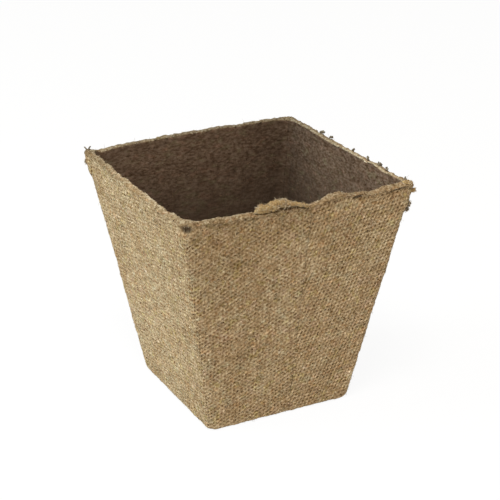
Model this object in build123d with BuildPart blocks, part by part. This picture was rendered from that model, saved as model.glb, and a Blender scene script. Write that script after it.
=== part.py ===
from build123d import *
from math import sqrt
import os

# Square peat pot of moulded peat and wood fibre, standing on its floor.
# Millimetres, +Z up. The origin is the centre of the foot, on the surface that the pot stands on.
# The front wall faces -Y, and the wall on the viewer's left faces -X.

# Driving dimensions of the moulded shell
rim_width = 80.0
base_width = 52.0
pot_height = 78.2
wall_thickness = 2.2
floor_thickness = 2.4
outer_corner_radius = 2.8
inner_corner_radius = 3.4
foot_edge_radius = 1.6
floor_edge_radius = 3.0
drain_hole_diameter = 8.0

# How far the torn edge of the rim may rise above its level, or fall below it
tear_height = 1.6

# How far every cut runs past what it cuts
cut_overrun = 1.0

# Curled strip of skin on the front rim
curl_length = 14.5
curl_height = 2.7
curl_centre = -9.0

# Pit under the rim at the front corner
pit_radius = 1.4
pit_depth = 1.6
pit_inset = 1.4
pit_drop = 0.9

# Split leaves of felt at the right-hand corner
flake_length = 2.8
flake_corner_radius = 0.8
flake_thickness = 0.9
flake_overhang = 0.8
lower_flake_drop = 2.6

# Forked whisker at the left-hand corner
whisker_radius = 0.3
whisker_height = 2.2
whisker_spread = 0.9

# Tufts on the upright corners: the radius of the largest one
tuft_radius = 0.9

# Crumbs along the right-hand rim: the radius and height of the largest one
crumb_radius = 0.9
crumb_height = 0.9
crumb_taper = 12.0  # degrees

# Each tear is a list of places along its wall, as shares of the rim's width, with the rise
# or fall of the torn edge there, as shares of the tear's height.
front_left_tear_shares = [(-0.42, 0.5), (-0.3, 0.1), (-0.23, 0.25)]
front_right_tear_shares = [(0.0, -0.3), (0.02, -0.45), (0.045, -0.3), (0.078, 0.1), (0.1, 0.45), (0.13, 0.65),
                           (0.145, 1.0), (0.176, 0.9), (0.19, 0.45), (0.222, 0.3), (0.237, 0.55), (0.272, 0.0),
                           (0.292, -0.2), (0.34, 0.0), (0.38, 0.3), (0.42, 0.55)]
right_tear_shares = [(-0.42, 0.2), (-0.36, 0.1), (-0.32, -0.25), (-0.27, 0.05), (-0.22, 0.25), (-0.17, -0.2),
                     (-0.05, 0.0), (0.04, -0.2), (0.12, -0.3), (0.2, -0.2), (0.33, 0.0), (0.44, 0.0)]
back_tear_shares = [(-0.42, 0.2), (-0.3, 0.05), (-0.2, 0.05), (-0.12, 0.25), (-0.05, 0.05), (0.03, 0.2),
                    (0.1, 0.0), (0.22, -0.2), (0.3, -0.3), (0.4, -0.5)]
left_tear_shares = [(-0.48, 0.1), (-0.43, 0.05), (-0.25, 0.0), (-0.17, -0.2), (-0.13, -0.35), (-0.08, 0.2),
                    (-0.03, -0.2), (0.03, 0.0), (0.12, 0.1), (0.22, 0.05), (0.28, -0.1), (0.34, 0.0),
                    (0.37, 0.55), (0.43, 0.5), (0.49, 0.65)]

# Shape of the curl, as shares of its length and of its height: the flat seat comes first
curl_outline_shares = [(0.0, 0.0), (0.48, 0.0), (0.56, 0.2), (0.98, 0.15), (1.0, 0.3), (0.88, 0.45),
                       (0.8, 0.62), (0.7, 0.92), (0.58, 1.0), (0.42, 0.98), (0.34, 0.8), (0.27, 0.72),
                       (0.18, 0.8), (0.07, 0.68), (0.01, 0.35)]

# Crumbs: place along the right-hand rim as a share of its width, and size as a share of the largest
crumb_shares = [(-0.436, 0.8), (-0.302, 0.7), (-0.243, 1.0), (-0.155, 0.7), (-0.035, 0.6), (0.145, 0.75),
                (0.224, 0.8)]

# Tufts: which corner (-1 left, 1 right), drop below the rim as a share of the pot's height,
# and size as a share of the largest
tuft_shares = [(-1, 0.05, 1.0), (1, 0.088, 1.0), (1, 0.109, 0.8)]

# Places worked out from the sizes above
half_rim = rim_width / 2
wall_lean = (rim_width - base_width) / (2 * pot_height)
torn_stock_top = pot_height + tear_height
inner_half_rim = half_rim - wall_thickness
corner_square = inner_half_rim - cut_overrun
curl_start_share = (curl_centre - curl_length / 2) / rim_width
curl_end_share = (curl_centre + curl_length / 2) / rim_width


def outside_width(height):
    """Width over the walls: a straight taper, and upright above the rim's level."""
    return base_width + 2 * wall_lean * min(height, pot_height)


def corner_place(height):
    """Distance of the rounded upright corner from the pot's axis, along X and along Y."""
    return outside_width(height) / 2 - outer_corner_radius * (1 - 1 / sqrt(2))


def facing(x, y):
    """Upright plane through the pot's axis that faces the wall lying towards x, y."""
    return Plane(origin=(0, 0, 0), x_dir=(-y, x, 0), z_dir=(x, y, 0))


def tear_rim(plane, half_run, tear_shares):
    """Take away the stock above one wall's torn edge, over a run along that wall."""
    inside = [(place * rim_width, pot_height + rise * tear_height) for place, rise in tear_shares]
    top = torn_stock_top + cut_overrun
    ends = [(half_run, inside[-1][1]), (half_run, top), (-half_run, top), (-half_run, inside[0][1])]
    with BuildSketch(plane.offset(corner_square)) as torn_stock:
        with BuildLine():
            Polyline(*inside, *ends, close=True)
        make_face()
    extrude(torn_stock.sketch, amount=wall_thickness + 2 * cut_overrun, mode=Mode.SUBTRACT)


# The moulded shell
with BuildPart() as pot_shell:
    for level in (0, pot_height, torn_stock_top):
        with BuildSketch(Plane.XY.offset(level)):
            RectangleRounded(outside_width(level), outside_width(level), outer_corner_radius)
    loft(ruled=True)
    foot = pot_shell.faces().sort_by(Axis.Z)[0]
    fillet(foot.edges(), foot_edge_radius)

    for level in (floor_thickness, pot_height, torn_stock_top):
        inside_width = outside_width(level) - 2 * wall_thickness
        with BuildSketch(Plane.XY.offset(level)):
            RectangleRounded(inside_width, inside_width, inner_corner_radius)
    loft(ruled=True, mode=Mode.SUBTRACT)
    floor_face = pot_shell.faces().filter_by(Axis.Z).sort_by(Axis.Z)[1]
    fillet(floor_face.edges(), floor_edge_radius)

    tear_rim(facing(1, 0), half_rim + cut_overrun, right_tear_shares)
    tear_rim(facing(-1, 0), half_rim + cut_overrun, left_tear_shares)
    curl_seat_shares = [(curl_start_share, 0), (curl_end_share, 0)]
    front_tear_shares = front_left_tear_shares + curl_seat_shares + front_right_tear_shares
    tear_rim(facing(0, -1), corner_square, front_tear_shares)
    tear_rim(facing(0, 1), corner_square, back_tear_shares)

    with BuildSketch(Plane.XY):
        Circle(drain_hole_diameter / 2)
    extrude(amount=floor_thickness + cut_overrun, mode=Mode.SUBTRACT)

    pit_level = pot_height - pit_drop
    pit_wall = outside_width(pit_level) / 2
    with Locations((pit_inset - pit_wall, pit_depth - pit_radius - pit_wall, pit_level)):
        Sphere(pit_radius, mode=Mode.SUBTRACT)
pot_shell.part.label = "pot_shell"

# Curled strip of skin, lying on the front rim with its right half lifted
curl_left = curl_centre - curl_length / 2
curl_points = [
    (curl_left + along * curl_length, pot_height + up * curl_height) for along, up in curl_outline_shares
]
with BuildPart() as front_rim_curl:
    with BuildSketch(facing(0, -1).offset(inner_half_rim)):
        with BuildLine():
            Polyline(*curl_points, close=True)
        make_face()
    extrude(amount=wall_thickness)
front_rim_curl.part.label = "front_rim_curl"

# Two leaves of felt that have split at the right-hand corner, one lying on the rim and one below it
with BuildPart() as right_corner_flakes:
    for level in (pot_height, pot_height - lower_flake_drop):
        flake_place = corner_place(level) + flake_overhang - flake_length / 2
        with BuildSketch(Plane.XY.offset(level)):
            with Locations((flake_place, -flake_place)):
                RectangleRounded(flake_length, flake_length, flake_corner_radius)
    extrude(amount=flake_thickness)
    add(pot_shell.part, mode=Mode.SUBTRACT)
right_corner_flakes.part.label = "right_corner_flakes"

# Forked straw whisker, standing on the torn rim at the left-hand corner
whisker_place = corner_place(pot_height) - 2 * whisker_radius
whisker_level = pot_height + left_tear_shares[0][1] * tear_height
whisker_root = (-whisker_place, whisker_place, whisker_level - whisker_radius)
with BuildPart() as left_corner_whisker:
    for side in (-1, 1):
        prong = Vector(side * whisker_spread, -side * whisker_spread / 2, whisker_height)
        with Locations(Plane(origin=whisker_root, z_dir=prong)):
            centred_on_root = (Align.CENTER, Align.CENTER, Align.MIN)
            Cone(whisker_radius, whisker_radius / 2, prong.length, align=centred_on_root)
    split(bisect_by=Plane.XY.offset(whisker_level), keep=Keep.TOP)
left_corner_whisker.part.label = "left_corner_whisker"

# Tufts of loose fibre on the outer upright corners
with BuildPart() as edge_tufts:
    for side, drop_share, size_share in tuft_shares:
        level = pot_height * (1 - drop_share)
        with Locations((side * corner_place(level), -side * corner_place(level), level)):
            Sphere(tuft_radius * size_share)
    add(pot_shell.part, mode=Mode.SUBTRACT)
edge_tufts.part.label = "edge_tufts"

# Crumbs of peat sitting on the right-hand rim
with BuildPart() as rim_crumbs:
    for place_share, size_share in crumb_shares:
        with BuildSketch(Plane.XY.offset(pot_height - tear_height / 2)) as crumb_footprint:
            with Locations((half_rim - wall_thickness / 2, place_share * rim_width)):
                RegularPolygon(crumb_radius * size_share, 5)
        extrude(crumb_footprint.sketch, amount=crumb_height * size_share + tear_height / 2, taper=crumb_taper)
    add(pot_shell.part, mode=Mode.SUBTRACT)
rim_crumbs.part.label = "rim_crumbs"

pieces = [pot_shell, front_rim_curl, right_corner_flakes, left_corner_whisker, edge_tufts, rim_crumbs]

os.makedirs("parts", exist_ok=True)
for piece in pieces:
    export_step(piece.part, f"parts/{piece.part.label}.step")
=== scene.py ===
import functools
import math

import bpy
import numpy as np
from mathutils import Matrix, Vector
from mathutils.bvhtree import BVHTree
from mathutils.geometry import tessellate_polygon


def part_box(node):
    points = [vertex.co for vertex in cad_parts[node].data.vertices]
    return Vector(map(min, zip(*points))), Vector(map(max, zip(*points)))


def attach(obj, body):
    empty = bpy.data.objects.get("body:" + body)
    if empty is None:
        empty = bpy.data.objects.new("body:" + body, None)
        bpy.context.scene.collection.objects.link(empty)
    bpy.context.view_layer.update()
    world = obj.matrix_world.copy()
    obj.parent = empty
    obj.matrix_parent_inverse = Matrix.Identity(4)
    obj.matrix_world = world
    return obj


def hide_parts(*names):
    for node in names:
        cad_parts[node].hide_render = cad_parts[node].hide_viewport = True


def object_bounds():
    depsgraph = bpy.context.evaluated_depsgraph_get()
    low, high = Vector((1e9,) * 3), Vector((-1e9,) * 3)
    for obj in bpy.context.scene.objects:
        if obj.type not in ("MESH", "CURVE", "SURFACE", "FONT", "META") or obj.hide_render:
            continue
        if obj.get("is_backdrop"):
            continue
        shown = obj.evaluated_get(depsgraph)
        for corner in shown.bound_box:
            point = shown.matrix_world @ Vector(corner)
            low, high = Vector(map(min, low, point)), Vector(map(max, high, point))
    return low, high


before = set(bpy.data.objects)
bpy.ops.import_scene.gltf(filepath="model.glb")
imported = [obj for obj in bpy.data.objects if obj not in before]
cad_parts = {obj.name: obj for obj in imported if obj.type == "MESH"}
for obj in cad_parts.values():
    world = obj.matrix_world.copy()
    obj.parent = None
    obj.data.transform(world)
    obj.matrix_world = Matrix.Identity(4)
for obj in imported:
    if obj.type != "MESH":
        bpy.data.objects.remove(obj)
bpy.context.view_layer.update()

# The moulded shell, in metres. What the frame holds is read from it.
MM = 0.001
rim_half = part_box("pot_shell")[1].x
rim_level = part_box("front_rim_curl")[0].z
foot_half = 26 * MM
wall = 2.2 * MM
floor_thickness = 2.4 * MM
outer_corner = 2.8 * MM
inner_corner = 3.4 * MM
foot_edge = 1.6 * MM
floor_edge = 3 * MM
hole_radius = 4 * MM
lip_edge = 0.5 * MM
crest_rise = 0.5 * MM

# The wire screen that the felt was formed on
screen_pitch = 1.49 * MM
screen_seam = 3 * MM
screen_row_turns = (0, 60, 120)

# How strongly each of the screen's rows of dimples shows, by wall, and in front by side of the seam
row_shares = {
    "before seam": (0.6, 0.7, 0.95),
    "after seam": (0.95, 1.05, 0.5),
    "left": (1.0, 1.0, 0.9),
    "others": (0.8, 0.9, 0.8),
}

# How finely a side of the pot is divided
corner_steps = 8
wall_steps = 248
outer_rows = 240
inner_rows = 60
underside_steps = 16
floor_steps = 13
crest_steps = 5
foot_arc_rows = 4
lip_arc_rows = 3
floor_arc_rows = 5

# How much room each zone of a side gets on the flat sheet that it is laid out on
zone_room = {"underside": 0.5, "foot edge": 1.0, "outside": 1.0, "rim": 1.3, "inside": 1.4, "floor": 0.9}
zone_room["hole"] = 0.6

# How strongly the torn lip stands out in the middle of each side, by its direction in degrees
lip_shares = {-90: 0.8, 0: 0.6, 90: 0.3, 180: 0.3}

# How far the rim's top slopes down outward, likewise
slope_shares = {-90: 1.0, -45: 0.8, 0: 0.4, 90: 0.0, 180: 0.8}

# How bright the torn rim's felt is painted, likewise: painted light and shade, brightest on the left and
# darkest on the back
rim_shading_by_direction = {-128: 0.8, -105: 0.95, -75: 0.7, -55: 0.72, -45: 0.9}
rim_shading_by_direction |= {0: 0.85, 45: 0.42, 90: 0.4, 135: 0.6, 180: 1.05}

# How rusty the fibres on the torn rim are, likewise
rust_shares = {-135: 0.1, -120: 0.1, -112: 0.6, -104: 0.1, -82: 0.45, -50: 0.6}
rust_shares |= {-35: 0.3, 0: 0.1, 90: 0.0, 140: 0.25}

# Where the outside is darker towards the front's upper left, likewise
upper_left_darkening_shares = {-140: 0.0, -128: 1.0, -50: 1.0, -40: 0.0}

# Pale and dark places in the outside: middle and half size in millimetres, and how bright they are
bright_and_dark_patches = [
    (-32, 6, 30, 26, 1.13),
    (27, -28, 8, 8, 1.35),
    (-14, -31, 24, 15, 0.88),
    (17, -30, 12, 8, 0.92),
    (18, -38, 60, 13, 0.92),
    (-2, -38, 60, 12, 1.08),
    (-40, 38, 68, 13, 0.85),
]

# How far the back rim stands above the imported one, and over what share of its half it comes down to it
back_rim_lift = 0.6 * MM
lift_ends = 0.2

# How far down the torn rim draws the felt with it
drawn_zone = 8 * MM

# Hollows in the outside, in millimetres: place, drop below the torn rim, half length, half height and depth.
# The ones with a depth below zero are swellings.
hollows = [
    (-39.2, -39.4, 2.1, 2.5, 1.8, 1.6),
    (-39.5, 38.5, 4.5, 4.0, 5.5, -0.7),
    (39.4, -39.2, 5.5, 3.5, 7.0, -0.5),
    (19.2, -40.0, 1.3, 1.7, 0.5, 0.9),
    (34.0, -40.0, 1.3, 3.5, 0.35, 0.4),
    (39.4, 39.4, 2.5, 3.5, 5.0, -0.6),
    (-21.7, -39.0, 5.7, 0.5, 0.35, 0.7),
    (-40.0, 34.5, 1.1, 0.5, 0.4, 0.5),
    (-40.0, 34.0, 1.7, 0.45, 0.45, 0.5),
    (-40.0, 32.5, 2.0, 0.45, 0.4, 0.5),
    (-40.0, 29.0, 1.2, 0.5, 0.35, 0.5),
]


def node(tree, kind, inputs=None, **settings):
    """Adds a node. Inputs are named or numbered, and each is a value or the output that feeds it."""
    made = tree.nodes.new(kind)
    for name, value in settings.items():
        setattr(made, name, value)
    for key, value in (inputs or {}).items():
        if isinstance(value, bpy.types.NodeSocket):
            tree.links.new(value, made.inputs[key])
        else:
            made.inputs[key].default_value = value
    return made


def maths(work, *values):
    """Works on numbers, in the node tree that the first output among them belongs to."""
    tree = next(value.id_data for value in values if isinstance(value, bpy.types.NodeSocket))
    return node(tree, "ShaderNodeMath", dict(enumerate(values)), operation=work).outputs[0]


def vector_maths(work, first, second):
    """Works on two vectors. A dot product or a distance comes out as a number."""
    made = node(first.id_data, "ShaderNodeVectorMath", {0: first, 1: second}, operation=work)
    return made.outputs["Value" if work in ("DOT_PRODUCT", "DISTANCE") else 0]


def scaled(vector, amount):
    """Scales a vector, or brightens a colour."""
    inputs = {0: vector, "Scale": amount}
    return node(vector.id_data, "ShaderNodeVectorMath", inputs, operation="SCALE").outputs[0]


def sum_of(*terms):
    return functools.reduce(lambda total, term: maths("ADD", total, term), terms)


def product_of(*terms):
    return functools.reduce(lambda total, term: maths("MULTIPLY", total, term), terms)


def remap(value, low, high, new_low=0.0, new_high=1.0):
    """Spreads a value from one range to another, and holds it there."""
    settings = {"Value": value, "From Min": low, "From Max": high, "To Min": new_low, "To Max": new_high}
    return node(value.id_data, "ShaderNodeMapRange", settings).outputs["Result"]


def noise(where, fineness, detail, seed, output=0):
    """Smooth noise with a fineness in lumps per metre. Output 1 is three noises, for a direction."""
    settings = {"Vector": where, "W": seed, "Scale": fineness, "Detail": detail, "Roughness": 0.55}
    return node(where.id_data, "ShaderNodeTexNoise", settings, noise_dimensions="4D").outputs[output]


def even_noise(where, fineness, detail, seed):
    """Noise for a direction, centred on zero."""
    return vector_maths("SUBTRACT", noise(where, fineness, detail, seed, 1), (0.5, 0.5, 0.5))


def patchy(where, fineness, detail, seed, low, high, least=0.0, most=1.0):
    """Noise, spread from one range to another and held there."""
    return remap(noise(where, fineness, detail, seed), low, high, least, most)


def screen_dimples(place, pitch, shares):
    """Dimples in the three-way rows of the screen: 1 in the middle of each, 0 between them."""
    tree = place.id_data
    numbers = {0: 4 * math.pi / math.sqrt(3), 1: pitch}
    wave_number = node(tree, "ShaderNodeMath", numbers, operation="DIVIDE").outputs[0]
    waves = []
    parts = node(tree, "ShaderNodeSeparateXYZ", {0: shares}).outputs
    for turn, share in zip(screen_row_turns, parts):
        way = (math.cos(math.radians(turn)), math.sin(math.radians(turn)), 0)
        run = vector_maths("DOT_PRODUCT", place, way)
        waves.append(product_of(maths("COSINE", product_of(run, wave_number)), share))
    return remap(sum_of(*waves), -1.4, 2.3)


def new_object(name, points, faces, smooth=True):
    mesh = bpy.data.meshes.new(name)
    mesh.from_pydata([tuple(p) for p in points], [], faces)
    mesh.polygons.foreach_set("use_smooth", [smooth] * len(mesh.polygons))
    made = bpy.data.objects.new(name, mesh)
    bpy.context.scene.collection.objects.link(made)
    return made


def carry(made, label, values):
    """Keeps a number or a direction at every point of a mesh."""
    values = np.asarray(values, dtype=float)
    kind = "FLOAT_VECTOR" if values.shape[-1] == 3 and values.ndim > 1 else "FLOAT"
    store = made.data.attributes.new(label, kind, "POINT").data
    store.foreach_set("vector" if kind == "FLOAT_VECTOR" else "value", values.reshape(-1))


# Shape of the moulded shell


def lean_half(height):
    """Half the width over the walls at a height."""
    return foot_half + (rim_half - foot_half) * min(height / rim_level, 1)


def arc_rows(count, radius, first, last):
    """Offsets along and up a rounded edge, from one angle to the other, without its two ends."""
    angles = [math.radians(first + (last - first) * (step + 1) / (count + 1)) for step in range(count)]
    return [(radius * math.sin(a), radius * math.cos(a)) for a in angles]


def shell_rows():
    """Rows round the shell, from the drain hole under the floor, up outside, over the rim and down inside.

    Each is (spread, half width, corner radius, height, zone): spread runs from 0 at the drain hole to 1."""
    foot_flat = foot_half - foot_edge
    floor_half = lean_half(floor_thickness) - wall
    underside = [step / underside_steps for step in range(underside_steps + 1)]
    rows = [(spread, foot_flat, outer_corner / 2, 0.0, "underside") for spread in underside]
    for out, down in arc_rows(foot_arc_rows, foot_edge, 0, 80):
        rows.append((1, foot_flat + out, outer_corner, foot_edge - down, "foot edge"))
    first = foot_edge * 0.9
    shoulder = rim_level - crest_rise
    top = shoulder - lip_edge
    for step in range(outer_rows):
        height = first + (top - first) * step / (outer_rows - 1)
        rows.append((1, lean_half(height), outer_corner, height, "outside"))
    for out, up in arc_rows(lip_arc_rows, lip_edge, 90, 0):
        rows.append((1, rim_half - lip_edge + out, outer_corner, top + up, "rim"))
    for step in range(crest_steps + 1):
        half = rim_half - lip_edge - (wall - 2 * lip_edge) * step / crest_steps
        rows.append((1, half, outer_corner, shoulder + crest_rise * step / crest_steps, "rim"))
    top = rim_level - lip_edge
    for out, up in arc_rows(lip_arc_rows, lip_edge, 0, 90):
        rows.append((1, rim_half - wall + lip_edge - out, inner_corner, top + up, "rim"))
    low = floor_thickness + floor_edge
    for step in range(inner_rows):
        drop = (step / (inner_rows - 1)) ** 1.15
        height = top - (top - low) * drop
        rows.append((1, lean_half(height) - wall, inner_corner, height, "inside"))
    for out, down in arc_rows(floor_arc_rows, floor_edge, 90, 0):
        rows.append((1, floor_half - floor_edge + out, inner_corner * 0.8, low - down, "floor"))
    for step in range(floor_steps + 1):
        spread = 1 - step / floor_steps
        rows.append((spread, floor_half - floor_edge, inner_corner * 0.5, floor_thickness, "floor"))
    for step in (1, 2):
        rows.append((0, foot_flat, outer_corner / 2, floor_thickness * (1 - step / 3), "hole"))
    return rows


def side_columns():
    """Places along one side, from the middle of one upright corner to the middle of the next."""
    straight = [(-1 + 2 * step / wall_steps, 0.0) for step in range(wall_steps + 1)]
    bend = [math.radians(45 * (step + 1) / corner_steps) for step in range(corner_steps)]
    return np.array([(-1, -a) for a in reversed(bend)] + straight + [(1, a) for a in bend])


def packed_surface(name):
    """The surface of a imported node, for measuring."""
    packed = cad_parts[name].data
    points = [vertex.co.copy() for vertex in packed.vertices]
    return BVHTree.FromPolygons(points, [polygon.vertices[:] for polygon in packed.polygons])


def packed_bits(name):
    """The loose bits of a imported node, from the first along Y to the last: lowest and highest corners."""
    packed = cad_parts[name].data
    keys = [tuple(round(c * 1e6) for c in vertex.co) for vertex in packed.vertices]
    parent = {key: key for key in keys}

    def root_of(key):
        while parent[key] != key:
            parent[key] = parent[parent[key]]
            key = parent[key]
        return key

    for polygon in packed.polygons:
        first, *others = [keys[i] for i in polygon.vertices]
        for other in others:
            parent[root_of(other)] = root_of(first)
    groups = {}
    for key in parent:
        groups.setdefault(root_of(key), []).append(key)
    boxes = []
    for group in groups.values():
        corners = np.array(group) / 1e6
        boxes.append((Vector(corners.min(0)), Vector(corners.max(0))))
    return sorted(boxes, key=lambda box: box[0].y)


def turned_side(number):
    """The turn that takes the front to another side."""
    return Matrix.Rotation(-number * math.pi / 2, 3, "Z")


def height_at(surface, x, y, start, way):
    """Height at which a line that starts at a height, and runs up (1) or down (-1), meets a surface."""
    hit = surface.ray_cast(Vector((x, y, start)), Vector((0, 0, way)))[0]
    return hit.z if hit else None


def torn_rim(columns, surface):
    """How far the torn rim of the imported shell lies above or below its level, along each side."""
    flat = rim_half - wall / 2 - inner_corner
    above_pot = 0.1
    window = 7
    heights = []
    for number in (0, 3, 2, 1):
        for place, bend in columns[:-1]:
            across, away = place * flat + inner_corner * math.sin(bend), flat + inner_corner * math.cos(bend)
            spot = turned_side(number) @ Vector((across, -away, 0))
            height = height_at(surface, spot.x, spot.y, above_pot, -1)
            heights.append(0.0 if height is None else height - rim_level)
    smooth = np.convolve(np.pad(heights, window // 2, mode="wrap"), np.ones(window) / window, mode="valid")
    run = len(columns) - 1
    return [np.take(smooth, np.arange(run + 1) - number * run, mode="wrap") for number in range(4)]


def screen_places(height, share, turn_number):
    """Flat place on the forming screen: the four walls unrolled about the point where they would meet below.

    share runs from -1 to 1 across the wall. The screen begins and ends at a seam in the front wall."""
    taper = (rim_half - foot_half) / rim_level
    slope = math.hypot(1, taper)
    from_tip = (height + foot_half / taper) * slope
    corner_angle = math.atan(taper / slope)
    across = np.arctan(math.tan(corner_angle) * share)
    angle = across - 2 * corner_angle * turn_number
    if turn_number == 0:
        angle = np.where(share * from_tip * taper > screen_seam, angle - 8 * corner_angle, angle)
    distance = from_tip / np.cos(across)
    return distance * np.sin(angle), distance * np.cos(angle)


def bake_map(made, rows, count, faces, cap_start):
    """Lays the side out flat on a UV map. The hidden caps get a thin strip at its edge."""
    steps = np.array([zone_room[row[4]] for row in rows])
    level = np.concatenate([[0], np.cumsum(steps)]) / steps.sum()
    layer = made.data.uv_layers.new(name="OFBake")
    places = np.zeros((len(layer.data), 2))
    heights = np.array([v.co.z for v in made.data.vertices]) / rim_level
    walls_width, cap_strips = 0.95, (0.965, 0.985)
    loop = 0
    for index, face in enumerate(faces):
        for corner, vertex in enumerate(face):
            row, column = divmod(vertex, count)
            if index < cap_start:
                top = 1.0 if corner >= 2 and row == 0 else level[row]
                places[loop] = (walls_width * column / (count - 1), top)
            else:
                reach = math.hypot(*made.data.vertices[vertex].co.xy) / (rim_half * 1.5)
                places[loop] = (cap_strips[column > 0] + 0.012 * reach, min(max(heights[vertex], 0), 1))
            loop += 1
    layer.data.foreach_set("uv", places.reshape(-1))


def pressable(half, zone):
    """How far the hollows reach a row: fully outside, less on the rim's outer half, and not inside."""
    if zone == "rim" and half > rim_half - wall / 2:
        return 0.7
    return float(zone == "outside")


def outer_part(half, zone):
    """How far out over the top of the wall a row lies, from 0 inside to 1 outside."""
    if zone == "rim":
        return (half - rim_half + wall) / wall
    return float(zone == "outside")


def press_hollow(points, outward, shares, tear, hollow):
    """Pushes the outside in over a rounded patch. Returns how deep each point lies in it, from 0 to 1."""
    x, y, drop, half_length, half_height, depth = hollow
    below = rim_level + tear[None, :] - points[:, :, 2]
    along = np.hypot(points[:, :, 0] - x, points[:, :, 1] - y)
    near = 1 - (along / half_length) ** 2 - ((below - drop) / half_height) ** 2
    deep = np.sqrt(np.clip(near, 0, 1)) * shares
    points -= outward * (deep * depth)[:, :, None]
    return deep if depth > 0 else 0 * deep


def side_points(number, columns, rows):
    """Points of one side, lying as the front does, and their places on the screen."""
    place, bend = columns[:, 0], columns[:, 1]
    points = np.zeros((len(rows), len(columns), 3))
    screen = np.zeros_like(points)
    for index, (spread, half, radius, height, zone) in enumerate(rows):
        across = place * (half - radius) + radius * np.sin(bend)
        away = (half - radius) + radius * np.cos(bend)
        if spread < 1:
            length = np.hypot(across, away)
            across = across * spread + hole_radius * across / length * (1 - spread)
            away = away * spread + hole_radius * away / length * (1 - spread)
        points[index] = np.stack([across, -away, np.full(len(columns), height)], axis=1)
        along, up = screen_places(height, across / away, number)
        if zone == "underside":
            along, up = across, -away
        screen[index, :, 0], screen[index, :, 1] = along, up
    return points, screen


def row_weights(half, height, zone):
    """What all the points of a row carry, by name, from 0 to 1. below is in millimetres."""
    below = (rim_level - crest_rise - height) / MM
    weights = {
        "imprint": {"outside": 1.0, "underside": 0.8}.get(zone, 0.0),
        "inside": float(zone in ("inside", "floor", "hole")),
        "sway": np.clip(height / (20 * MM), 0, 1),
    }
    if zone in ("outside", "rim"):
        weights["rim"] = np.clip((0.8 - below) / 0.5, 0, 1)
        weights["lip"] = np.clip(1 - abs(below - 0.2) / 0.5, 0, 1)
        weights["groove"] = np.clip(1 - abs(below - 1.1) / 0.5, 0, 1)
    # The crest is where the rim's inner edge gets its painted highlight
    if zone == "rim":
        weights["crest"] = np.clip(1.15 - (half - rim_half + wall) / (0.6 * wall), 0, 1)
    return weights


def ways_out(points):
    """Directions out of a side. Along its two edges they lie in the plane where it meets the next side."""
    outward = np.cross(np.gradient(points, axis=1), np.gradient(points, axis=0))
    outward /= np.maximum(np.linalg.norm(outward, axis=2, keepdims=True), 1e-12)
    for edge, across in ((0, (1, -1, 0)), (-1, (1, 1, 0))):
        across = np.array(across) / math.sqrt(2)
        outward[:, edge] -= (outward[:, edge] @ across)[:, None] * across
        outward[:, edge] /= np.linalg.norm(outward[:, edge], axis=1, keepdims=True)
    return outward


def side_faces(points):
    """Faces of a side, whose last row meets its first, and of the two hidden caps that close it."""
    rows, count = points.shape[:2]
    grid = np.arange(rows * count).reshape(rows, count)
    next_row = np.roll(grid, -1, axis=0)
    quads = np.stack([grid[:, :-1], grid[:, 1:], next_row[:, 1:], next_row[:, :-1]], axis=-1).reshape(-1, 4)
    caps = []
    for column, flip in ((0, False), (-1, True)):
        ring = grid[:, column].tolist()
        loop = [Vector(points.reshape(-1, 3)[i]) for i in ring]
        for triangle in tessellate_polygon([loop]):
            corners = [ring[i] for i in triangle]
            caps.append(corners[::-1] if flip else corners)
    return quads.tolist(), caps


def by_direction(shares, facing):
    return np.interp(facing, list(shares), list(shares.values()), period=360)


def pot_side(name, number, tear):
    """One side of the shell, a closed wedge from the drain hole to the middle of both its upright corners."""
    columns, rows = side_columns(), shell_rows()
    place, bend = columns[:, 0], columns[:, 1]
    around = np.array(turned_side(number)).T
    points, screen = side_points(number, columns, rows)
    outward = ways_out(points)
    sideways = np.zeros_like(points)
    sideways[:, :, 0] = np.sin(bend)
    sideways[:, :, 1] = -np.cos(bend)

    labels = "imprint rim crest rim_tone rust damp lip groove inside sway hollow".split()
    weights = {label: np.zeros(points.shape[:2]) for label in labels}
    for index, (_, half, _, height, zone) in enumerate(rows):
        for label, weight in row_weights(half, height, zone).items():
            weights[label][index] = weight
    middle = points[0] @ around
    facing = np.degrees(np.arctan2(middle[:, 1], middle[:, 0]))
    # Painted light and shade on the torn rim, by the way each part faces
    weights["rim_tone"] += by_direction(rim_shading_by_direction, facing)
    weights["rust"] += by_direction(rust_shares, facing)
    weights["damp"] += by_direction(upper_left_darkening_shares, facing)
    weights["imprint"] *= 1 - 0.9 * weights["rim"]
    for label in ("lip", "groove"):
        weights[label] *= by_direction(lip_shares, facing)

    if number == 2:
        tear = tear + back_rim_lift * np.clip((1 - abs(place)) / lift_ends, 0, 1)
    lift = np.clip(points[:, :, 2] / drawn_zone - (rim_level / drawn_zone - 1), 0, 1) ** 2
    outer_share = np.array([outer_part(half, zone) for _, half, _, _, zone in rows])
    flatness = 1 - by_direction(slope_shares, facing)
    points[:, :, 2] += (tear + crest_rise * outer_share[:, None] * flatness) * lift
    shares = np.array([pressable(half, zone) for _, half, _, _, zone in rows])[:, None]
    for hollow in hollows:
        x, y, *sizes = (size * MM for size in hollow)
        spot = turned_side(-number) @ Vector((x, y, 0))
        deep = press_hollow(points, outward, shares, tear, (spot.x, spot.y, *sizes))
        weights["hollow"] = np.maximum(weights["hollow"], deep)

    quads, caps = side_faces(points)
    made = new_object(f"{name}_wedge", points.reshape(-1, 3) @ around, quads + caps)
    hidden = made.data.attributes.new("hidden", "FLOAT", "FACE").data
    hidden.foreach_set("value", [0.0] * len(quads) + [1.0] * len(caps))
    rows_seen = np.zeros_like(points) + row_shares[{0: "before seam", 1: "left"}.get(number, "others")]
    if number == 0:
        rows_seen[points[:, :, 0] > screen_seam] = row_shares["after seam"]
    ways = {"outward": outward @ around, "sideways": sideways @ around, "screen": screen, "rows": rows_seen}
    for label, values in ways.items():
        carry(made, label, values.reshape(-1, 3))
    for label, values in weights.items():
        carry(made, label, values.reshape(-1))
    bake_map(made, rows, len(columns), quads + caps, len(quads))
    return made


# Node trees that shape the felt


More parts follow.
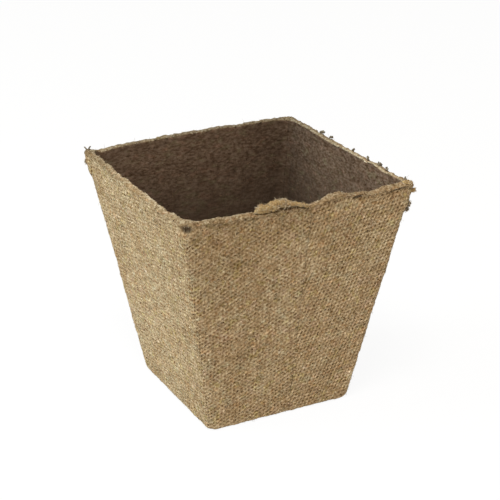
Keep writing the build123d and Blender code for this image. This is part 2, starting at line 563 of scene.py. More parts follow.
def new_shape_tree(name, **sizes):
    """Starts a shape tree with a geometry input and a named input for each size or word."""
    tree = bpy.data.node_groups.new(name, "GeometryNodeTree")
    tree.interface.new_socket("Geometry", in_out="INPUT", socket_type="NodeSocketGeometry")
    kinds = {int: "NodeSocketInt", str: "NodeSocketString", float: "NodeSocketFloat"}
    for label, value in sizes.items():
        label = label.replace("_", " ")
        socket = tree.interface.new_socket(label, in_out="INPUT", socket_type=kinds[type(value)])
        socket.default_value = value
    tree.interface.new_socket("Geometry", in_out="OUTPUT", socket_type="NodeSocketGeometry")
    return tree, tree.nodes.new("NodeGroupInput").outputs


def end_shape_tree(shape, material):
    tree = shape.id_data
    whole = node(tree, "GeometryNodeRealizeInstances", {"Geometry": shape})
    finished = node(tree, "GeometryNodeSetMaterial", {"Geometry": whole.outputs[0], "Material": material})
    tree.links.new(finished.outputs[0], tree.nodes.new("NodeGroupOutput").inputs["Geometry"])
    return tree


def kind_of(label):
    return "FLOAT_VECTOR" if label in ("outward", "sideways", "screen", "rows") else "FLOAT"


def kept(tree, label):
    """Reads what a mesh carries at its points."""
    made = node(tree, "GeometryNodeInputNamedAttribute", {"Name": label}, data_type=kind_of(label))
    return made.outputs["Attribute"]


def keep(shape, label, value):
    """Makes a shape carry a value."""
    inputs = {"Geometry": shape, "Name": label, "Value": value}
    return node(shape.id_data, "GeometryNodeStoreNamedAttribute", inputs, data_type=kind_of(label)).outputs[0]


def input_place(tree):
    return tree.nodes.new("GeometryNodeInputPosition").outputs[0]


def pushed(shape, offset):
    return node(shape.id_data, "GeometryNodeSetPosition", {"Geometry": shape, "Offset": offset}).outputs[0]


def above_table(shape, gap=0.0):
    """Keeps a shape from sinking below the surface that the pot stands on."""
    raised = vector_maths("MAXIMUM", input_place(shape.id_data), (-1.0, -1.0, gap))
    return node(shape.id_data, "GeometryNodeSetPosition", {"Geometry": shape, "Position": raised}).outputs[0]


def felt_tree(material):
    """Presses the wire screen into the felt, and gives it lumps, fibres, a slight sway and a torn rim."""
    tree, given = new_shape_tree(
        "felt_relief",
        Screen_Pitch=screen_pitch,
        Dimple_Depth=0.5 * MM,
        Lump_Height=0.9 * MM,
        Grain_Height=0.4 * MM,
        Fibre_Height=0.15 * MM,
        Sway=1.0 * MM,
        Lip=0.1 * MM,
        Groove=0.2 * MM,
        Raggedness=0.95 * MM,
        Seed=3.0,
    )
    place = input_place(tree)
    seed = given["Seed"]
    wander = scaled(even_noise(place, 330, 3.0, seed), 1.3 * MM)
    screen = vector_maths("ADD", kept(tree, "screen"), wander)
    dimple = screen_dimples(screen, given["Screen Pitch"], kept(tree, "rows"))
    pressed = product_of(kept(tree, "imprint"), patchy(place, 150, 2.0, seed, 0.3, 0.6, 0.5))

    def relief(fineness, detail, height, inside=0.5):
        rise = maths("SUBTRACT", noise(place, fineness, detail, seed), 0.5)
        return product_of(rise, height, remap(kept(tree, "inside"), 0, 1, 1.0, inside))

    height = sum_of(
        relief(260, 2.0, given["Lump Height"], 0.9),
        relief(1000, 2.0, given["Grain Height"]),
        relief(1700, 1.0, given["Fibre Height"]),
    )
    press = product_of(dimple, pressed, given["Dimple Depth"])
    lip_share = patchy(place, 330, 2.0, maths("ADD", seed, 5.0), 0.35, 0.65, 0.25, 1.3)
    lip = product_of(kept(tree, "lip"), lip_share, given["Lip"])
    groove_share = patchy(place, 600, 2.0, maths("ADD", seed, 9.0), 0.47, 0.6)
    grooved = product_of(kept(tree, "groove"), groove_share)
    groove = product_of(grooved, given["Groove"])
    drawn_out = vector_maths("MULTIPLY", place, (0.25, 0.25, 1.0))
    creases = patchy(drawn_out, 700, 2.0, seed, 0.54, 0.66, 0.0, 0.45 * MM)
    creases = product_of(creases, patchy(place, 90, 1.0, seed, 0.45, 0.6), kept(tree, "inside"))
    height = maths("SUBTRACT", sum_of(height, lip), sum_of(press, groove, creases))
    offset = scaled(kept(tree, "outward"), height)
    sway = maths("SUBTRACT", noise(place, 38, 1.0, seed), 0.5)
    sway = product_of(sway, given["Sway"], kept(tree, "sway"))
    offset = vector_maths("ADD", offset, scaled(kept(tree, "sideways"), sway))
    torn = vector_maths("ADD", even_noise(place, 800, 3.0, seed), even_noise(place, 380, 1.0, seed))
    torn = scaled(torn, product_of(kept(tree, "rim"), given["Raggedness"]))
    offset = vector_maths("ADD", offset, torn)
    shape = above_table(pushed(given["Geometry"], offset))
    shape = keep(shape, "screen", screen)
    shape = keep(shape, "pressed", pressed)
    # Painted shade goes where this is strong: the hollows, and half as strongly the groove under the lip
    hollow = maths("MAXIMUM", kept(tree, "hollow"), product_of(grooved, 0.5))
    return end_shape_tree(keep(shape, "hollow", hollow), material)


def scattered(tree, given):
    """Random places on the faces that show, where what a surface carries under a name is strong."""
    density = product_of(kept(tree, given["Grows On"]), given["Density"])
    shown = maths("LESS_THAN", kept(tree, "hidden"), 0.5)
    settings = {"Mesh": given["Geometry"], "Selection": shown, "Density": density, "Seed": given["Seed"]}
    return node(tree, "GeometryNodeDistributePointsOnFaces", settings).outputs["Points"]


def chance(given, draw, low, high):
    """A random number at each place. Each draw has a number of its own, which is added to the seed."""
    seed = maths("ADD", given["Seed"], draw)
    inputs = {2: low, 3: high, "Seed": seed}
    return node(seed.id_data, "FunctionNodeRandomValue", inputs, data_type="FLOAT").outputs[1]


def turned_about(rotation, axis, angle):
    tree = rotation.id_data
    turn = node(tree, "FunctionNodeAxisAngleToRotation", {"Axis": axis, "Angle": angle}).outputs[0]
    settings = {"Rotation": rotation, "Rotate By": turn}
    return node(tree, "FunctionNodeRotateRotation", settings, rotation_space="LOCAL").outputs[0]


def standing(tree, given, draw):
    """The turn that stands a shape on its surface, spun round at random."""
    upright = node(tree, "FunctionNodeAlignRotationToVector", {"Vector": kept(tree, "outward")}, axis="Z")
    return turned_about(upright.outputs[0], (0, 0, 1), chance(given, draw, 0.0, 2 * math.pi))


def copied(places, shape, rotation, scale):
    """A copy of a shape at every place, as real geometry."""
    settings = {"Points": places, "Instance": shape, "Rotation": rotation, "Scale": scale}
    copies = node(shape.id_data, "GeometryNodeInstanceOnPoints", settings).outputs[0]
    return node(shape.id_data, "GeometryNodeRealizeInstances", {"Geometry": copies}).outputs[0]


def strands_tree(name, material):
    """Scatters thin bent strands over a surface, where what it carries under a name is strong."""
    tree, given = new_shape_tree(
        name,
        Grows_On="imprint",
        Density=5e5,
        Shortest=1.0 * MM,
        Longest=3.0 * MM,
        Thickness=0.05 * MM,
        Bend=0.6 * MM,
        Lowest_Stand=-2.0,
        Highest_Stand=6.0,
        Seed=1,
    )
    roots = scattered(tree, given)
    roots = keep(roots, "shade", chance(given, 11, 0.0, 1.0))
    stands = [product_of(given[f"{which} Stand"], -1.0) for which in ("Lowest", "Highest")]
    low, high = (maths("RADIANS", stand) for stand in stands)
    turned = turned_about(standing(tree, given, 12), (0, 1, 0), chance(given, 13, low, high))
    ends = {"Start": (-0.15, 0, 0), "End": (0.85, 0, 0)}
    line = node(tree, "GeometryNodeCurvePrimitiveLine", ends).outputs[0]
    line = node(tree, "GeometryNodeResampleCurve", {"Curve": line, "Count": 5}).outputs[0]
    length = chance(given, 14, given["Shortest"], given["Longest"])
    strands = copied(roots, line, turned, length)
    bend = scaled(even_noise(input_place(tree), 600, 1.0, given["Seed"]), given["Bend"])
    strands = above_table(pushed(strands, bend), 0.1 * MM)
    along = tree.nodes.new("GeometryNodeSplineParameter").outputs["Factor"]
    taper = maths("SUBTRACT", 1.0, product_of(maths("POWER", along, 2.0), 0.75))
    share = remap(kept(tree, "shade"), 0, 1, 0.7, 1.4)
    thickness = product_of(taper, given["Thickness"], share)
    ring = node(tree, "GeometryNodeCurvePrimitiveCircle", {"Resolution": 3, "Radius": 1.0}).outputs[0]
    settings = {"Curve": strands, "Profile Curve": ring, "Scale": thickness, "Fill Caps": True}
    return end_shape_tree(node(tree, "GeometryNodeCurveToMesh", settings).outputs[0], material)


def chips_tree(name, material):
    """Scatters small flattened crumbs over a surface, where what it carries under a name is strong."""
    tree, given = new_shape_tree(
        name, Grows_On="imprint", Density=3e4, Smallest=0.2 * MM, Largest=0.5 * MM, Stretch=1.5, Seed=5
    )
    spots = scattered(tree, given)
    spots = keep(spots, "shade", chance(given, 21, 0.0, 1.0))
    turned = standing(tree, given, 22)
    crumb = node(tree, "GeometryNodeMeshUVSphere", {"Radius": 0.5, "Segments": 7, "Rings": 5}).outputs[0]
    size = chance(given, 23, given["Smallest"], given["Largest"])
    stretched = product_of(size, chance(given, 24, 1.0, given["Stretch"]))
    sizes = {0: stretched, 1: size, 2: product_of(size, 0.45)}
    crumbs = copied(spots, crumb, turned, node(tree, "ShaderNodeCombineXYZ", sizes).outputs[0])
    rough = scaled(even_noise(input_place(tree), 3500, 1.0, 2.0), given["Smallest"])
    return end_shape_tree(above_table(pushed(crumbs, rough), 0.02 * MM), material)


def torn_tree(name, material):
    """Roughens a loose bit of felt or peat all over."""
    tree, given = new_shape_tree(
        name, Lump_Size=1.2 * MM, Lump_Height=0.8 * MM, Grain_Size=0.4 * MM, Grain_Height=0.3 * MM, Seed=2.0
    )
    place, seed = input_place(tree), given["Seed"]
    away = tree.nodes.new("GeometryNodeInputNormal").outputs[0]
    moves = []
    for label, share in (("Lump", 1.0), ("Grain", 0.8)):
        fineness, height = maths("DIVIDE", 1.0, given[f"{label} Size"]), given[f"{label} Height"]
        rise = maths("SUBTRACT", noise(place, fineness, 2.0, seed), 0.48)
        push = scaled(scaled(away, product_of(rise, height)), 1.2)
        shift = scaled(scaled(even_noise(place, fineness, 2.0, seed), height), share)
        moves.append(vector_maths("ADD", push, shift))
    shape = keep(given["Geometry"], "outward", away)
    return end_shape_tree(pushed(shape, vector_maths("ADD", *moves)), material)


def baked(source, name, tree, keep_source=False, **sizes):
    """Runs a node tree on an object and returns its result as a plain mesh piece."""
    modifier = source.modifiers.new(tree.name, "NODES")
    modifier.node_group = tree
    identifiers = {s.name: s.identifier for s in tree.interface.items_tree if s.in_out == "INPUT"}
    for label, value in sizes.items():
        modifier[identifiers[label.replace("_", " ")]] = value
    shape = bpy.data.meshes.new_from_object(source.evaluated_get(bpy.context.evaluated_depsgraph_get()))
    shape.name = name
    source.modifiers.clear()
    if not keep_source:
        bpy.data.objects.remove(source)
    made = bpy.data.objects.new(name, shape)
    bpy.context.scene.collection.objects.link(made)
    return made


def fit(piece, slot, *stands_for):
    """Hands a finished piece to the frame."""
    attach(piece, "root")
    if stands_for:
        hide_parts(*stands_for)


# Materials


def mixed(share, first, second):
    """Mixes two colours, each a plain colour or an output."""
    first, second = (c if isinstance(c, bpy.types.NodeSocket) else (*c, 1) for c in (first, second))
    return node(share.id_data, "ShaderNodeMix", {0: share, 6: first, 7: second}, data_type="RGBA").outputs[2]


def flecked(colour, where, flecks):
    """Mixes flecks into a colour. Each is (fineness, seed, low, high, most, colour)."""
    for fineness, seed, low, high, most, fleck in flecks:
        colour = mixed(patchy(where, fineness, 2.0, seed, low, high, 0.0, most), colour, fleck)
    return colour


def painted(tree, label, output="Fac"):
    """Reads what a piece's points carry."""
    return node(tree, "ShaderNodeAttribute", attribute_name=label).outputs[output]


def toned(colour, tone):
    """Brightens or darkens a felt colour. Dark tones turn browner, and pale ones greyer."""
    shades = [maths("POWER", tone, power) for power in (1.0, 1.2, 1.5)]
    shade = node(tone.id_data, "ShaderNodeCombineXYZ", dict(enumerate(shades))).outputs[0]
    return vector_maths("MULTIPLY", colour, shade)


def less(most, *terms):
    """What is left of a highest value when a product is taken from it."""
    return maths("SUBTRACT", most, product_of(*terms))


def dry_material(name):
    """A matt material, and the place on the object in its node tree."""
    material = bpy.data.materials.new(name)
    material.use_nodes = True
    tree = material.node_tree
    shader = tree.nodes["Principled BSDF"]
    shader.inputs["Roughness"].default_value = 0.95
    shader.inputs["Specular IOR Level"].default_value = 0.12
    return material, tree.nodes.new("ShaderNodeTexCoord").outputs["Object"]


def finished(material, colour, relief, strength, depth):
    """Gives a material its colour and its fine bumps."""
    tree = material.node_tree
    shader = tree.nodes["Principled BSDF"]
    bump = node(tree, "ShaderNodeBump", {"Height": relief, "Strength": strength, "Distance": depth})
    tree.links.new(colour, shader.inputs["Base Color"])
    tree.links.new(bump.outputs[0], shader.inputs["Normal"])
    return material


def fibre_streaks(screen, turn, seed):
    """Short parallel fibres that lie one way in the screen's own flat place."""
    thickness, length = 0.4 * MM, 1.2 * MM
    settings = {"Vector": screen, "Angle": math.radians(turn)}
    turned = node(screen.id_data, "ShaderNodeVectorRotate", settings, rotation_type="Z_AXIS").outputs[0]
    stretched = vector_maths("MULTIPLY", turned, (1 / length, 1 / thickness, 1.0))
    return noise(stretched, 1.0, 1.0, seed)


def outside_colour(place):
    """The outside's felt: mottled, with greenish, rusty and pinkish flecks."""
    share = patchy(place, 70, 3.0, 1.0, 0.38, 0.62)
    flecks = (
        (380, 2.0, 0.54, 0.66, 0.5, (0.27, 0.23, 0.14)),
        (420, 3.0, 0.56, 0.66, 0.45, (0.35, 0.19, 0.08)),
        (360, 4.0, 0.56, 0.66, 0.4, (0.33, 0.215, 0.145)),
        (400, 5.0, 0.56, 0.66, 0.5, (0.31, 0.235, 0.085)),
    )
    return flecked(mixed(share, (0.308, 0.209, 0.112), (0.342, 0.249, 0.142)), place, flecks)


def outside_tone(tree, place, dimple, pressed, streaks):
    """How bright the outside is: with painted shade in the screen's dimples, streaked, mottled, darker
    towards the front's upper left, with pale and dark patches, and speckled.
    """
    # Painted shade: the felt is darkened in the screen's dimples, where the relief's hollows lie
    dark_share = patchy(place, 600, 1.0, 6.0, 0.4, 0.6, 0.4)
    tone = less(1.14, product_of(remap(dimple, 0.3, 1.0), dark_share, pressed), 0.62)
    for streak in streaks:
        tone = product_of(tone, remap(streak, 0.3, 0.7, 0.82, 1.18))
    for fineness, seed, least, most in ((1500, 7.0, 0.62, 1.38), (450, 7.5, 0.78, 1.22)):
        tone = product_of(tone, patchy(place, fineness, 2.0, seed, 0.3, 0.7, least, most))
    # Darker towards the front's upper left
    towards_left_rim = vector_maths("DOT_PRODUCT", place, (-0.5, -0.6, 0.5))
    damp = remap(towards_left_rim, 40 * MM, 78 * MM, 0.0, 0.27)
    tone = product_of(tone, less(1.0, damp, painted(tree, "damp")))
    for *middle, half_size, brightness in bright_and_dark_patches:
        away = vector_maths("DISTANCE", place, [size * MM for size in middle])
        nearness = remap(away, half_size * MM, 0.3 * (half_size * MM), 1.0, brightness)
        tone = product_of(tone, nearness)
    specks = node(tree, "ShaderNodeTexVoronoi", {"Vector": place, "Scale": 1000.0}).outputs
    few = remap(node(tree, "ShaderNodeSeparateColor", {0: specks["Color"]}).outputs[0], 0.9, 0.93)
    speck = product_of(remap(specks["Distance"], 0.34, 0.2), few)
    return product_of(tone, less(1.0, speck, 0.75))


def rim_colour(tree, place):
    """The torn rim's felt: mottled, with a painted highlight along its crest, rusty places, and painted light
    and shade by the way it faces.
    """
    share = patchy(place, 380, 2.0, 8.0, 0.4, 0.6)
    flecks = (
        (520, 9.0, 0.55, 0.65, 0.75, (0.34, 0.3, 0.2)),
        (520, 9.2, 0.55, 0.65, 0.75, (0.3, 0.17, 0.085)),
        (520, 9.4, 0.55, 0.65, 0.75, (0.13, 0.075, 0.035)),
    )
    colour = flecked(mixed(share, (0.24, 0.175, 0.095), (0.2, 0.135, 0.068)), place, flecks)
    # Painted highlight along the crest, the rim's inner edge
    crest = product_of(painted(tree, "crest"), patchy(place, 250, 2.0, 9.7, 0.4, 0.6, 0.5, 0.9))
    colour = mixed(crest, colour, (0.46, 0.39, 0.275))
    rusty = product_of(painted(tree, "rust"), patchy(place, 330, 2.0, 9.9, 0.4, 0.55, 0.3))
    colour = mixed(rusty, colour, (0.27, 0.155, 0.068))
    colour = toned(colour, patchy(place, 1400, 2.0, 9.5, 0.3, 0.7, 0.2, 1.7))
    # Painted light and shade: the rim's felt is brightened or darkened by the way it faces
    return scaled(colour, painted(tree, "rim_tone"))


def inner_colour(tree, place):
    """The inside: brown, with painted shade that darkens it lower down and in the far corner, and fine grain
    that runs level.
    """
    level_place = vector_maths("MULTIPLY", place, (0.5, 0.5, 1.0))
    share = patchy(level_place, 240, 3.0, 21.0, 0.35, 0.65)
    flecks = (
        (450, 22.0, 0.55, 0.66, 0.5, (0.115, 0.09, 0.05)),
        (500, 23.0, 0.56, 0.66, 0.5, (0.14, 0.08, 0.052)),
    )
    colour = flecked(mixed(share, (0.088, 0.054, 0.034), (0.108, 0.07, 0.045)), level_place, flecks)
    # Painted light and shade: darker lower down and towards the far corner, brighter towards the front of the
    # right wall. Each is a direction, where along it the brightness changes, in millimetres, and from what to
    # what
    shades = (
        ((0, 0, 1), 42, 72, 0.46, 1.07),
        ((1, 1, 0), 46, 72, 1.0, 0.68),
        ((1, -1, 0), 40, 70, 1.0, 1.14),
    )
    for way, near, far, first, last in shades:
        run = vector_maths("DOT_PRODUCT", place, way)
        colour = scaled(colour, remap(run, near * MM, far * MM, first, last))
    stretched = vector_maths("MULTIPLY", place, (0.45, 0.45, 1.0))
    place_y, height = node(tree, "ShaderNodeSeparateXYZ", {0: place}).outputs[1:]
    grain = product_of(
        patchy(stretched, 1500, 3.0, 24.0, 0.3, 0.7, -0.5, 0.5),
        remap(height, 45 * MM, 72 * MM, 0.35, 1.0),
        remap(place_y, 36 * MM, 38 * MM, 1.3, 0.8),
    )
    return toned(colour, maths("ADD", grain, 1.0))


def felt():
    """Dried felt of peat and wood fibre: paler outside, where the screen pressed it, and darker inside."""
    material, place = dry_material("moulded_felt")
    tree = material.node_tree
    screen, pressed = painted(tree, "screen", "Vector"), painted(tree, "pressed")
    dimple = screen_dimples(screen, screen_pitch, painted(tree, "rows", "Vector"))
    streaks = [fibre_streaks(screen, turn, seed) for turn, seed in ((41, 11.0), (-12, 12.0), (101, 13.0))]
    tone = outside_tone(tree, place, dimple, pressed, streaks)
    outside = toned(outside_colour(place), tone)
    outside = mixed(product_of(painted(tree, "rim"), 0.85), outside, rim_colour(tree, place))
    # Painted shade: darker in the hollows pressed into the outside and in the groove under the torn lip
    hollow = remap(painted(tree, "hollow"), 0.0, 0.6, 0.0, 0.8)
    outside = mixed(hollow, outside, (0.075, 0.05, 0.032))
    colour = mixed(painted(tree, "inside"), outside, inner_colour(tree, place))
    rough = sum_of(
        noise(place, 2600, 3.0, 31.0),
        noise(place, 1200, 2.0, 32.0),
        product_of(sum_of(*streaks), 0.8),
    )
    rough = maths("SUBTRACT", rough, product_of(dimple, pressed, 1.4))
    return finished(material, colour, rough, 0.9, 0.18 * MM)


def shaded_material(name, dark, middle, pale, fineness=1500):
    """Bits whose colour differs from one to the next, with fine grain on each."""
    material, place = dry_material(name)
    shade = painted(material.node_tree, "shade")
    colour = mixed(remap(shade, 0.0, 0.5), dark, middle)
    colour = mixed(remap(shade, 0.5, 1.0), colour, pale)
    colour = flecked(colour, place, [(300, 41.0, 0.5, 0.65, 0.4, middle)])
    colour = scaled(colour, patchy(place, fineness, 2.0, 42.0, 0.3, 0.7, 0.65, 1.35))
    return finished(material, colour, noise(place, 4000, 2.0, 43.0), 0.5, 0.05 * MM)


def torn_felt(name, low, high, spots):
    """Torn felt, fuzzy and mottled, for the bits that have lifted off the rim."""
    material, place = dry_material(name)
    colour = mixed(patchy(place, 600, 3.0, 51.0, 0.35, 0.65), low, high)
    colour = flecked(colour, place, [(900, 52.0, 0.55, 0.68, 0.8, spots)])
    colour = scaled(colour, patchy(place, 2200, 3.0, 53.0, 0.3, 0.7, 0.6, 1.4))
    return finished(material, colour, noise(place, 2600, 3.0, 54.0), 0.8, 0.15 * MM)


near_black, dark_brown = (0.05, 0.03, 0.018), (0.1, 0.06, 0.035)
felt_material = felt()
pale_fibre = shaded_material("pale_fibre", (0.27, 0.18, 0.1), (0.42, 0.32, 0.2), (0.62, 0.52, 0.37))
dark_fibre = shaded_material("dark_fibre", near_black, dark_brown, (0.2, 0.13, 0.08))
peat_crumb = shaded_material("peat_crumb", near_black, (0.08, 0.048, 0.028), (0.15, 0.085, 0.045), 2500)
bark_colours = ((0.12, 0.045, 0.02), (0.2, 0.075, 0.03), (0.28, 0.12, 0.05))
bark_sliver = shaded_material("bark_sliver", *bark_colours, 2500)
lifted_skin = torn_felt("lifted_skin", (0.22, 0.138, 0.06), (0.34, 0.245, 0.118), (0.1, 0.055, 0.024))
grey_crumb = torn_felt("grey_crumb", (0.09, 0.07, 0.05), (0.2, 0.17, 0.12), (0.04, 0.028, 0.018))
grey_straw = torn_felt("grey_straw", (0.12, 0.1, 0.07), (0.2, 0.17, 0.12), (0.08, 0.06, 0.04))

# The four sides of the shell, with the strands and crumbs that are in their felt
side_tears = torn_rim(side_columns(), packed_surface("pot_shell"))
relief = felt_tree(felt_material)
pale_strands = strands_tree("pale_strands", pale_fibre)
dark_strands = strands_tree("dark_strands", dark_fibre)
dark_chips = chips_tree("peat_chips", peat_crumb)
bark_chips = chips_tree("bark_slivers", bark_sliver)
fringe = dict(Grows_On="rim", Shortest=0.3 * MM, Longest=0.9 * MM, Bend=0.6 * MM, Lowest_Stand=-5.0)
front_fringe = dict(Density=2.2e6, Highest_Stand=26.0)
other_fringe = dict(Density=1.3e6, Highest_Stand=14.0)
slivers = dict(Density=6e3, Smallest=0.25 * MM, Largest=0.4 * MM, Stretch=4.0)
for number, side in enumerate(("front", "left", "back", "right")):
    shell_side = baked(pot_side(side, number, side_tears[number]), f"pot_{side}", relief)
    bits = (
        ("wall_fibres", pale_strands, "straw", dict(Density=4.5e5)),
        ("rim_fringe", pale_strands, "straw", fringe | (front_fringe if side == "front" else other_fringe)),
        ("inner_fibres", dark_strands, "peat", dict(Grows_On="inside", Density=1.5e5)),
        ("peat_chips", dark_chips, "peat", dict(Density=4.5e4)),
        ("bark_slivers", bark_chips, "peat", slivers),
    )
    for index, (name, tree, slot, sizes) in enumerate(bits):
        seed = 100 * (number + 1) + index
        fit(baked(shell_side, f"{name}_{side}", tree, True, Seed=seed, **sizes), slot)
    fit(shell_side, "felt", "pot_shell")


# Bits that have lifted off, torn or crumbled


def ball_points(rings, segments):
    """Points and faces of a ball of radius 1, with single points at its poles."""
    points, faces = [(0, 0, 1)], []
    for ring in range(1, rings):
        tilt = math.pi * ring / rings
        for step in range(segments):
            turn = 2 * math.pi * step / segments
            points.append((math.sin(tilt) * math.cos(turn), math.sin(tilt) * math.sin(turn), math.cos(tilt)))
    points.append((0, 0, -1))
    last = len(points) - 1
    for step in range(segments):
        after = (step + 1) % segments
        faces.append((0, 1 + step, 1 + after))
        for ring in range(rings - 2):
            a, b = 1 + ring * segments, 1 + (ring + 1) * segments
            faces.append((a + step, b + step, b + after, a + after))
        end = 1 + (rings - 2) * segments
        faces.append((last, end + after, end + step))
    return np.array(points), faces


def joined_balls(name, balls, rings, segments):
    """Several squashed balls in one mesh. Each is (centre, half sizes, turn about Z in degrees, lean)."""
    ball, faces = ball_points(rings, segments)
    points, all_faces = [], []
    for centre, half, turn, lean in balls:
        shaped = ball * np.array(half)
        turned = Matrix.Rotation(math.radians(turn), 3, "Z") @ Matrix.Rotation(math.radians(lean), 3, "Y")
        start = len(points) * len(ball)
        points.append(shaped @ np.array(turned).T + np.array(centre))
        all_faces += [tuple(i + start for i in face) for face in faces]
    return new_object(name, np.concatenate(points), all_faces)


def tube_faces(start, stations, ring):
    """Faces round a tube, whose rings of points follow one another from a first point."""
    faces = []
    for here in range(start, start + (stations - 1) * ring, ring):
        for turn in range(ring):
            after = (turn + 1) % ring
            faces.append((here + turn, here + after, here + ring + after, here + ring + turn))
    return faces


def rim_curl(name):
    """The strip of skin that lies curled on the front rim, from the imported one's own top and underside.

    Its right tail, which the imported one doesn't have, is drawn out and down to the rim."""
    low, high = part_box("front_rim_curl")
    surface = packed_surface("front_rim_curl")
    stations, ring = 180, 36
    tail, overlap = 3.4 * MM, 0.6 * MM
    above_pot = 0.2
    middle_y = (low.y + high.y) / 2 - 0.2 * MM
    half_y = (high.y - low.y) / 2 + 0.3 * MM
    points = []
    for step in range(stations):
        along = step / (stations - 1)
        x = low.x + 0.05 * MM + (high.x + tail - low.x - 0.1 * MM) * along
        past = min(max((x - high.x + overlap) / (tail + overlap), 0), 1)
        if past > 0:
            top, bottom = rim_level + (0.75 - 1.0 * past) * MM, rim_level + (0.3 - 1.1 * past) * MM
        else:
            sag = -0.1 * MM if along < 0.38 else 0.15 * MM
            top = height_at(surface, x, middle_y, above_pot, -1)
            bottom = height_at(surface, x, middle_y, 0.0, 1) + sag
        end = min(along * 6, (1 - along) * 14)
        full = math.sqrt(max(0.0, min(1.0, end * (2 - end)))) if end < 1 else 1.0
        for turn in range(ring):
            angle = 2 * math.pi * turn / ring
            out = math.copysign(abs(math.cos(angle)) ** 0.7, math.cos(angle))
            rise = math.copysign(abs(math.sin(angle)) ** 0.8, math.sin(angle))
            middle = (top + bottom) / 2
            points.append((x, middle_y - half_y * out * full, middle + (top - bottom) / 2 * rise * full))
    faces = [(a, d, c, b) for a, b, c, d in tube_faces(0, stations, ring)]
    for station, flip in ((0, True), (stations - 1, False)):
        ends = [station * ring + turn for turn in range(ring)]
        centre = len(points)
        points.append(tuple(np.mean([points[i] for i in ends], axis=0)))
        for turn in range(ring):
            edge = (ends[turn], ends[(turn + 1) % ring])
            faces.append((centre, edge[0], edge[1]) if flip else (centre, edge[1], edge[0]))
    return new_object(name, points, faces)


def fuzzy_piece(base, names, tree, sizes, seed, fuzz):
    """Roughens a loose bit of felt, grows fibres all over it, and hands both to the frame.

    The names are the piece's, its fibres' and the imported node's. fuzz is the fibres' density, shortest and
    longest length, bend, and how far they stand up."""
    name, fuzz_name, stands_for = names
    carry(base, "whole", [1.0] * len(base.data.vertices))
    core = baked(base, name, tree, **sizes)
    fuzz_sizes = dict(zip(("Density", "Shortest", "Longest", "Bend", "Highest_Stand"), fuzz))
    fit(baked(core, fuzz_name, pale_strands, True, Grows_On="whole", Seed=seed, **fuzz_sizes), "straw")
    fit(core, "felt", stands_for)


torn_skin = torn_tree("torn_skin", lifted_skin)
crumbled = torn_tree("crumbled_peat", grey_crumb)
curl_sizes = dict(Lump_Size=1.2 * MM, Lump_Height=1.3 * MM, Grain_Height=0.7 * MM)
curl_fuzz = (3e6, 0.5 * MM, 1.7 * MM, 1.4 * MM, 20.0)
curl_names = ("front_rim_curl_skin", "front_rim_curl_fuzz", "front_rim_curl")
fuzzy_piece(rim_curl("curl_base"), curl_names, torn_skin, curl_sizes, 31, curl_fuzz)

flake_balls = []
for low, high in packed_bits("right_corner_flakes"):
    centre = ((low.x + high.x) / 2, (low.y + high.y) / 2, (low.z + high.z) / 2)
    half = ((high.x - low.x) * 0.62, (high.y - low.y) * 0.55, (high.z - low.z) * 0.62)
    shift = (-0.8 if centre[2] > rim_level else 0.9) * MM
    centre = (centre[0] + shift, centre[1] - shift * 0.3, centre[2])
    flake_balls.append((centre, half, 0, 12))
flake_sizes = dict(Lump_Size=0.9 * MM, Lump_Height=0.9 * MM, Seed=8.0)
flake_fuzz = (5e6, 0.4 * MM, 1.2 * MM, 1.2 * MM, 50.0)
flake_names = ("right_corner_skin", "right_corner_fuzz", "right_corner_flakes")
flakes = joined_balls("flakes_base", flake_balls, 30, 44)
fuzzy_piece(flakes, flake_names, torn_skin, flake_sizes, 41, flake_fuzz)

tuft_balls = []
for low, high in packed_bits("edge_tufts"):
    centre = [(a + b) / 2 for a, b in zip(low, high)]
    half = tuple((b - a) * 0.5 for a, b in zip(low, high))
    centre[0] += math.copysign(0.5 * MM, centre[0])
    tuft_balls.append((centre, half, 20, 15))
tuft_sizes = dict(Lump_Size=0.6 * MM, Lump_Height=0.8 * MM, Seed=12.0)
tuft_fuzz = (6e6, 0.4 * MM, 1.0 * MM, 1.0 * MM, 60.0)
tuft_names = ("edge_tuft_cores", "edge_tuft_fibres", "edge_tufts")
tufts = joined_balls("tufts_base", tuft_balls, 18, 26)
fuzzy_piece(tufts, tuft_names, crumbled, tuft_sizes, 51, tuft_fuzz)

crumb_balls = []
for index, (low, high) in enumerate(packed_bits("rim_crumbs")):
    size = (high.x - low.x) * 0.42
    centre = (rim_half - 0.75 * MM, (low.y + high.y) / 2, high.z - 0.45 * MM)
    crumb_balls.append((centre, (size * 0.8, size * 1.5, size * 0.95), 8 * index, 20))
    beside = (centre[0], centre[1] + size * 0.6, centre[2] + size * 0.4)
    crumb_balls.append((beside, (size * 0.45, size * 0.55, size * 0.7), 0, 0))
crumb_sizes = dict(Lump_Size=0.8 * MM, Lump_Height=1.5 * MM, Seed=21.0)
crumbs = joined_balls("crumbs_base", crumb_balls, 14, 20)
fit(baked(crumbs, "rim_peat_crumbs", crumbled, **crumb_sizes), "peat", "rim_crumbs")


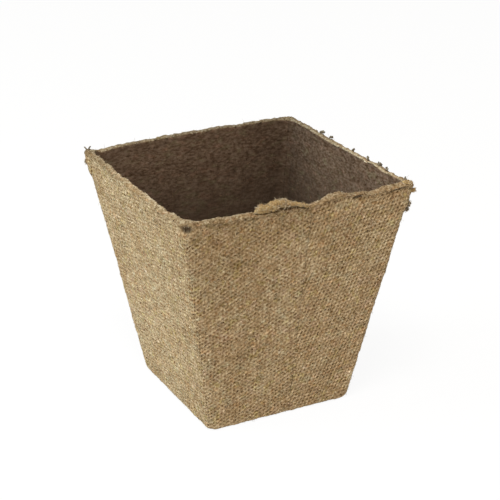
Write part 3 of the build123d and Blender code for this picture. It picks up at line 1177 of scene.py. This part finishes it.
def whisker(name):
    """The forked straw: two thin prongs that leave one root and bend apart."""
    low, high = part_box("left_corner_whisker")
    root = Vector(((low.x + high.x) / 2, (low.y + high.y) / 2, rim_level - 0.3 * MM))
    ring, stations = 8, 14
    points, faces = [], []
    for side, reach, tip in ((-1, 1.0, 1.5), (1, 0.8, 1.7)):
        start = len(points)
        for step in range(stations):
            along = step / (stations - 1)
            spread = reach * MM * along**1.2 * side
            centre = root + Vector((spread, -spread / 2, tip * MM * along))
            radius = (0.36 - 0.1 * along) * MM * (1 if step < stations - 1 else 0.3)
            for turn in range(ring):
                angle = 2 * math.pi * turn / ring
                points.append(centre + Vector((math.cos(angle), math.sin(angle), 0)) * radius)
        faces += tube_faces(start, stations, ring)
        faces.append(tuple(start + turn for turn in reversed(range(ring))))
        faces.append(tuple(start + (stations - 1) * ring + turn for turn in range(ring)))
    return new_object(name, points, faces)


straw_tree = torn_tree("rough_straw", grey_straw)
straw = whisker("straw_base")
straw = baked(straw, "left_corner_straw", straw_tree, Lump_Height=0.3 * MM, Grain_Height=0.1 * MM)
fit(straw, "straw", "left_corner_whisker")

# Camera, at the photograph's viewing angle
azimuth, elevation, roll = (math.radians(angle) for angle in (-27.132, 22.656, -0.176))
camera_distance, aim_height = 490.16 * MM, 40 * MM
aside, above = 1.984 * MM, 8.252 * MM
level = math.cos(elevation)
back = Vector((math.sin(azimuth) * level, -math.cos(azimuth) * level, math.sin(elevation)))
right = Vector((0, 0, 1)).cross(back).normalized()
up = back.cross(right)
camera_data = bpy.data.cameras.new("camera")
camera_data.lens = 106.135
camera_data.sensor_width = 36
camera_data.clip_start = 10 * MM
camera = bpy.data.objects.new("camera", camera_data)
axes = Matrix((right, up, back)).transposed() @ Matrix.Rotation(roll, 3, "Z")
stand = Vector((0, 0, aim_height)) + back * camera_distance + right * aside + up * above
camera.matrix_world = Matrix.Translation(stand) @ axes.to_4x4()
bpy.context.scene.collection.objects.link(camera)
bpy.context.scene.camera = camera


# Light and floor


def soft_lamp(name, place, size, power, colour):
    """A square soft lamp that faces the middle of the pot."""
    data = bpy.data.lights.new(name, "AREA")
    data.size = size
    data.energy = power
    data.color = colour
    lamp = bpy.data.objects.new(name, data)
    lamp.location = place
    lamp.rotation_euler = (Vector((0, 0, 0.04)) - Vector(place)).to_track_quat("-Z", "Y").to_euler()
    bpy.context.scene.collection.objects.link(lamp)


soft_lamp("left_lamp", (-0.85, 0.27, 0.5), 0.5, 7.3, (0.745, 0.92, 1.0))
soft_lamp("top_lamp", (-0.3, -0.38, 0.95), 0.4, 10.0, (1, 0.98, 0.93))

world = bpy.data.worlds.new("studio")
bpy.context.scene.world = world
world.use_nodes = True
tree = world.node_tree
path = tree.nodes.new("ShaderNodeLightPath").outputs
seen = sum_of(path["Is Camera Ray"], path["Is Glossy Ray"], path["Is Transmission Ray"])
tree.links.new(mixed(seen, (0.46, 0.41, 0.345), (1, 1, 1)), tree.nodes["Background"].inputs["Color"])

reach = 3.0
floor_corners = [(-reach, -reach, 0), (reach, -reach, 0), (reach, reach, 0), (-reach, reach, 0)]
floor = new_object("floor", floor_corners, [(0, 1, 2, 3)], False)
paper = bpy.data.materials.new("white_paper")
paper.use_nodes = True
tree = paper.node_tree
matt = node(tree, "ShaderNodeBsdfDiffuse", {"Color": (0.85, 0.85, 0.85, 1)})
glow = node(tree, "ShaderNodeEmission", {"Color": (1, 1, 1, 1), "Strength": 1.0})
share = maths("MULTIPLY", tree.nodes.new("ShaderNodeLightPath").outputs["Is Camera Ray"], 0.93)
shown = node(tree, "ShaderNodeMixShader", {0: share, 1: matt.outputs[0], 2: glow.outputs[0]})
tree.links.new(shown.outputs[0], tree.nodes["Material Output"].inputs["Surface"])
floor.data.materials.append(paper)
floor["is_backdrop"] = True

bpy.context.scene.view_settings.view_transform = "Standard"

low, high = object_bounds()
